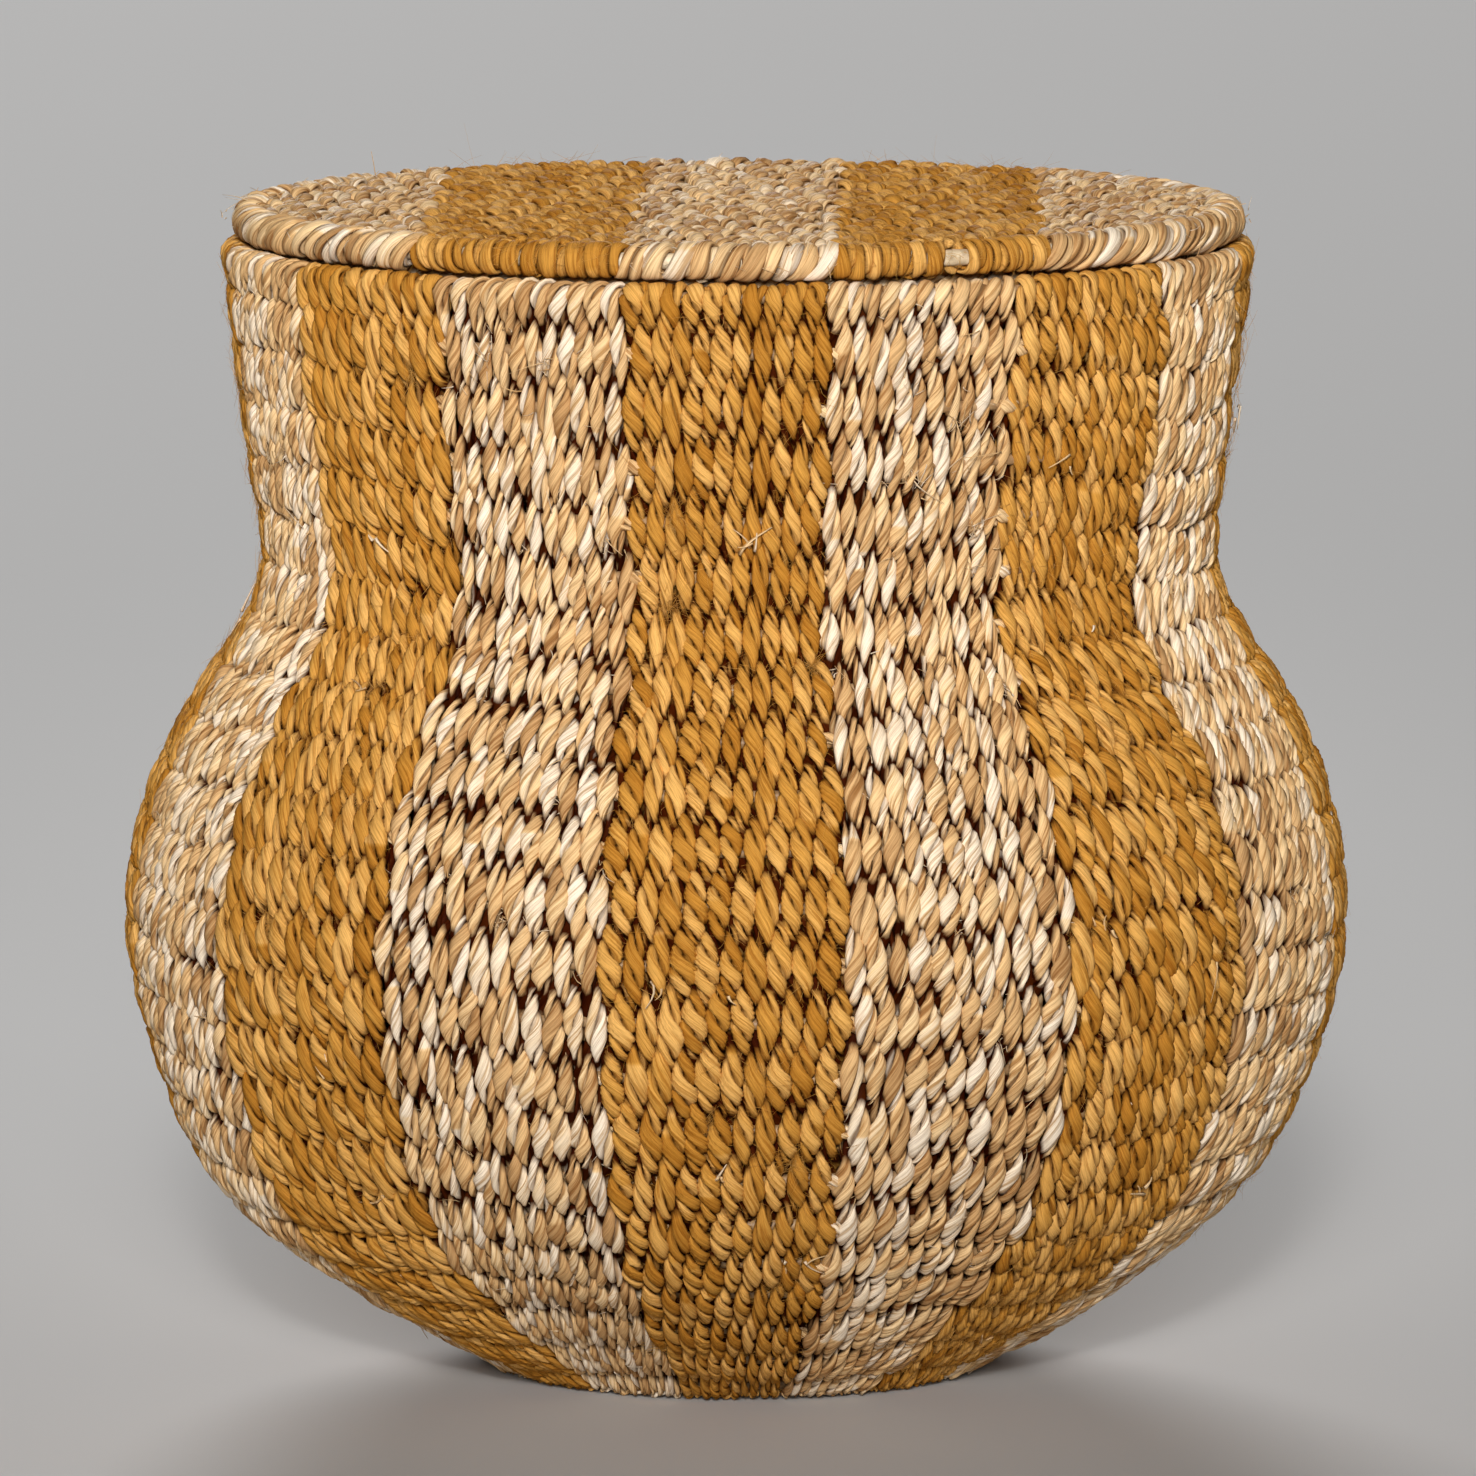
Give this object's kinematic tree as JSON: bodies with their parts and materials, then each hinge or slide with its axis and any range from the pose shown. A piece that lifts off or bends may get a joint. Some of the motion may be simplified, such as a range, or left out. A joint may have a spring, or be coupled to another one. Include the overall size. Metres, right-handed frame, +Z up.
{
  "type": "seagrass storage basket",
  "caption": "Round lidded storage basket with a bulging body and a narrow neck, woven in upright natural and ochre stripes over hidden hoops, with a flat striped lift-off lid.",
  "frame": {"origin": "middle of the flat underside, on the floor", "axes": "+Z up along the basket's axis; -Y is the front, where an ochre stripe is centred"},
  "size_m": [0.4606, 0.4606, 0.4422],
  "materials": {
    "seagrass_natural": "twisted natural seagrass cord, dull to slightly waxy, tan to straw",
    "seagrass_ochre": "twisted fibre cord dyed ochre, dull and slightly fuzzy",
    "rattan_rod": "peeled rattan, unvarnished"
  },
  "bodies": {
    "basket": {"base_cross_rods": "rattan_rod", "base_edge_hoop": "rattan_rod", "base_stripe_1": "seagrass_natural", "base_stripe_2": "seagrass_ochre", "base_stripe_3": "seagrass_natural", "base_stripe_4": "seagrass_ochre", "base_stripe_5": "seagrass_natural", "hoop_01": "rattan_rod", "hoop_02": "rattan_rod", "hoop_03": "rattan_rod", "hoop_04": "rattan_rod", "hoop_05": "rattan_rod", "hoop_06": "rattan_rod", "hoop_07": "rattan_rod", "hoop_08": "rattan_rod", "hoop_09": "rattan_rod", "hoop_10": "rattan_rod", "hoop_11": "rattan_rod", "hoop_12": "rattan_rod", "hoop_13": "rattan_rod", "hoop_14": "rattan_rod", "hoop_15": "rattan_rod", "hoop_16": "rattan_rod", "hoop_17": "rattan_rod", "hoop_18": "rattan_rod", "hoop_19": "rattan_rod", "hoop_20": "rattan_rod", "hoop_21": "rattan_rod", "hoop_22": "rattan_rod", "hoop_23": "rattan_rod", "wall_stripe_01": "seagrass_ochre", "wall_stripe_02": "seagrass_natural", "wall_stripe_03": "seagrass_ochre", "wall_stripe_04": "seagrass_natural", "wall_stripe_05": "seagrass_ochre", "wall_stripe_06": "seagrass_natural", "wall_stripe_07": "seagrass_ochre", "wall_stripe_08": "seagrass_natural", "wall_stripe_09": "seagrass_ochre", "wall_stripe_10": "seagrass_natural", "wall_stripe_11": "seagrass_ochre", "wall_stripe_12": "seagrass_natural", "wall_stripe_13": "seagrass_ochre", "wall_stripe_14": "seagrass_natural", "wall_stripe_15": "seagrass_ochre", "wall_stripe_16": "seagrass_natural"},
    "lid": {"lid_cross_rods": "rattan_rod", "lid_edge_hoop": "rattan_rod", "lid_locating_ring": "seagrass_natural", "lid_stripe_1": "seagrass_natural", "lid_stripe_2": "seagrass_ochre", "lid_stripe_3": "seagrass_natural", "lid_stripe_4": "seagrass_ochre", "lid_stripe_5": "seagrass_natural"}
  },
  "joints": [
    {"name": "lid_lift", "type": "slide", "parent": "basket", "child": "lid", "axis": [0, 0, 1], "range_m": [0, 0.3]}
  ]
}
